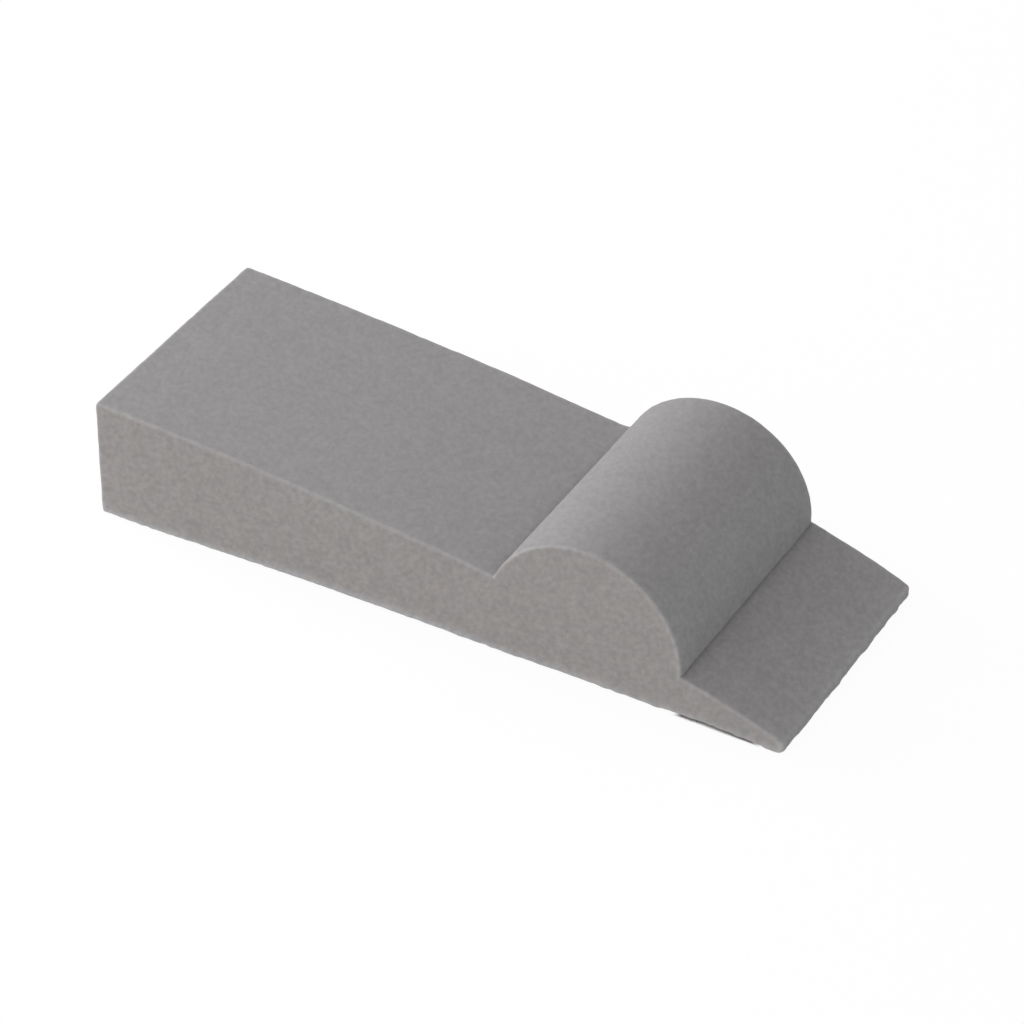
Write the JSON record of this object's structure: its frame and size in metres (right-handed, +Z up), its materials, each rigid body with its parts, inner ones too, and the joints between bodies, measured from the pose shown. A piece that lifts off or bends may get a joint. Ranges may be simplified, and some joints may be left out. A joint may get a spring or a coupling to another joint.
{
  "type": "foam back support cushion",
  "caption": "Foam cushion that supports the back: a long low wedge, a half-round roll across it and a short ramp down to a thin nose.",
  "frame": {"origin": "on the floor, under the middle of the cushion's length and width", "axes": "+X from the heel to the nose, +Y across the cushion, +Z up"},
  "size_m": [0.55, 0.2, 0.113],
  "materials": {
    "foam": "matte open-cell foam, cut surfaces"
  },
  "bodies": {
    "root": {"wedge_block": "foam", "half_roll": "foam", "front_ramp": "foam"}
  },
  "joints": []
}
